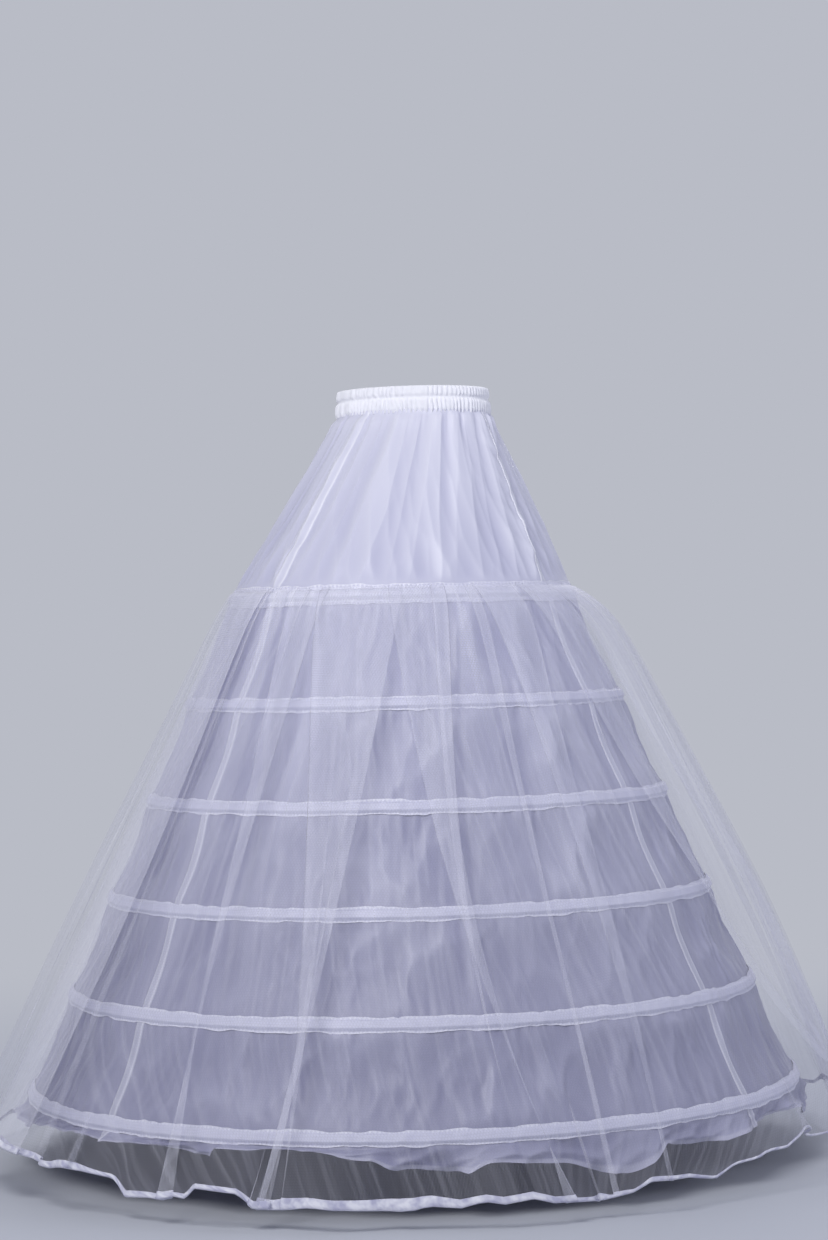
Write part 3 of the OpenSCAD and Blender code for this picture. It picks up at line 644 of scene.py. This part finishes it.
# Painted highlight and shade of the crinkles, as random patches
ribbon_painted_crinkle_light = add_node(ribbon, "ShaderNodeMapRange", {
    "Value": ribbon_light_noise.outputs[0], "From Min": 0.34, "From Max": 0.64})
ribbon_colour = add_node(ribbon, "ShaderNodeMix", {
    0: ribbon_painted_crinkle_light.outputs[0], 6: srgb("#B6B6D0"), 7: srgb("#EAEAF5")}, data_type="RGBA")
ribbon_rib = add_node(ribbon, "ShaderNodeTexWave", {
    "Vector": ribbon_uv.outputs[0], "Scale": 1 / (20 * 2 * mm), "Distortion": 0.5})
ribbon_bump = add_node(ribbon, "ShaderNodeBump", {
    "Height": ribbon_rib.outputs["Fac"], "Strength": 0.12, "Distance": 0.2 * mm})
ribbon_shader = add_node(ribbon, "ShaderNodeBsdfPrincipled", {
    "Base Color": ribbon_colour.outputs[2], "Roughness": 0.38, "Normal": ribbon_bump.outputs[0],
    "Sheen Weight": 0.25, "Sheen Roughness": 0.3})
add_node(ribbon, "ShaderNodeOutputMaterial", {"Surface": ribbon_shader.outputs[0]})

# How much of the ribbon's height shows, as [angle, share]: it tilts with the hem, and more of it shows at the front
shows = [
    [-120, 0.7], [-100, 0.9], [-77, 0.8], [-72, 0.6], [-67, 1.25], [-52, 1.2], [-43, 0.85], [-28, 0.55], [-8, 0.34],
    [12, 0.36],
] + [[at, dice.uniform(0.4, 0.9)] for at in range(28, 236, 9)]
spread = np.linspace(seam_angles[0], seam_angles[-1], 1320)[:, None]
hem_rows = np.linspace(1, 0, 4)[None, :] * binding_h * hang_line(spread, shows, True)
hem_rows = net_hem - hem_rows * (0.75 + 0.3 * crumple(spread, 0 * spread, 150, 98))
hem = net_surface(spread, hem_rows)[0]
outward = outward_normals(hem)
under = np.array([0, 0, -ribbon_stand])
grid = np.concatenate([hem + ribbon_stand * outward, hem[:, -1:] + under, (hem - ribbon_stand * outward)[:, ::-1]], 1)
binding = sew_sheet("hem_ribbon", grid, ribbon, {})
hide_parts("net_hem_binding")

# Studio: a pale paper floor that fades into an even backdrop, under three soft boxes, the key light from the left,
# and a weak cool sky
floor_drop, floor_half = 1.068, 60
backdrop = srgb("#B9BCC6")
paper = start_material("pale_studio_paper")
paper_place = add_node(paper, "ShaderNodeNewGeometry", {})
paper_flat = add_node(paper, "ShaderNodeVectorMath", {
    0: paper_place.outputs["Position"], 1: (1, 1, 0)}, operation="MULTIPLY")
paper_far = add_node(paper, "ShaderNodeVectorMath", {0: paper_flat.outputs[0]}, operation="LENGTH")
paper_fade = add_node(paper, "ShaderNodeMapRange", {
    "Value": paper_far.outputs["Value"], "From Min": 0.75, "From Max": 2.6}, interpolation_type="SMOOTHSTEP")
paper_near = add_node(paper, "ShaderNodeBsdfDiffuse", {"Color": srgb("#BFC2CB")})
paper_even = add_node(paper, "ShaderNodeEmission", {"Color": backdrop, "Strength": 1})
paper_mix = add_node(paper, "ShaderNodeMixShader", {
    0: paper_fade.outputs[0], 1: paper_near.outputs[0], 2: paper_even.outputs[0]})
add_node(paper, "ShaderNodeOutputMaterial", {"Surface": paper_mix.outputs[0]})
floor_mesh = bpy.data.meshes.new("studio_floor")
corners = [(-1, -1), (1, -1), (1, 1), (-1, 1)]
floor_mesh.from_pydata([(x * floor_half, y * floor_half, -floor_drop) for x, y in corners], [], [(0, 1, 2, 3)])
floor_mesh.materials.append(paper)
floor = bpy.data.objects.new("studio_floor", floor_mesh)
bpy.context.scene.collection.objects.link(floor)

world = bpy.data.worlds.new("soft_studio")
world.use_nodes = True
world.node_tree.nodes.clear()
bpy.context.scene.world = world
seen = add_node(world, "ShaderNodeLightPath", {})
seen_or_glossy = add_node(world, "ShaderNodeMath", {
    0: seen.outputs["Is Camera Ray"], 1: seen.outputs["Is Glossy Ray"]}, operation="MAXIMUM")
seen_at_all = add_node(world, "ShaderNodeMath", {
    0: seen_or_glossy.outputs[0], 1: seen.outputs["Is Transmission Ray"]}, operation="MAXIMUM")
sky_light = add_node(world, "ShaderNodeBackground", {"Color": srgb("#E4E8F6"), "Strength": 0.4})
sky_seen = add_node(world, "ShaderNodeBackground", {"Color": backdrop, "Strength": 1})
sky_mix = add_node(world, "ShaderNodeMixShader", {
    0: seen_at_all.outputs[0], 1: sky_light.outputs[0], 2: sky_seen.outputs[0]})
add_node(world, "ShaderNodeOutputWorld", {"Surface": sky_mix.outputs[0]})


def softbox(name, azimuth, height, distance, size, power, colour):
    """A square area light round the skirt, turned towards its middle."""
    lamp = bpy.data.lights.new(name, "AREA")
    lamp.size, lamp.energy, lamp.color = size, power, srgb(colour)[:3]
    light = bpy.data.objects.new(name, lamp)
    bpy.context.scene.collection.objects.link(light)
    turn = np.radians(azimuth)
    light.location = (distance * np.sin(turn), -distance * np.cos(turn), height)
    light.rotation_mode = "QUATERNION"
    light.rotation_quaternion = (Vector((0, 0, -0.5)) - light.location).to_track_quat("-Z", "Y")


softbox("key_light", 16, 1.35, 2.3, 1.2, 46, "#FFFFFF")
softbox("fill_light", 118, 1.0, 3.0, 1.8, 24, "#EEF1FF")
softbox("back_light", 215, 1.3, 3.0, 1.8, 44, "#FFFFFF")

# Camera: level with the hips, a long lens from the wearer's front left, rolled a little as the picture was
view_azimuth, view_distance, view_height = 40, 4.24, -0.338
view_lens, view_roll, look_height, look_aside = 87.1, -1.4, -0.324, 0.005
camera = bpy.data.objects.new("camera", bpy.data.cameras.new("camera"))
camera.data.lens, camera.data.sensor_width = view_lens, 36
turn = np.radians(view_azimuth)
camera.location = (view_distance * np.sin(turn), -view_distance * np.cos(turn), view_height)
camera.rotation_mode = "QUATERNION"
look_at = Vector((-look_aside * np.cos(turn), -look_aside * np.sin(turn), look_height))
aim = (look_at - camera.location).to_track_quat("-Z", "Y")
camera.rotation_quaternion = aim @ Matrix.Rotation(np.radians(view_roll), 3, "Z").to_quaternion()
bpy.context.scene.collection.objects.link(camera)
bpy.context.scene.camera = camera
bpy.context.scene.view_settings.view_transform = "Standard"

# A ray can pass through many layers of net
bpy.context.scene.cycles.transparent_max_bounces = 48
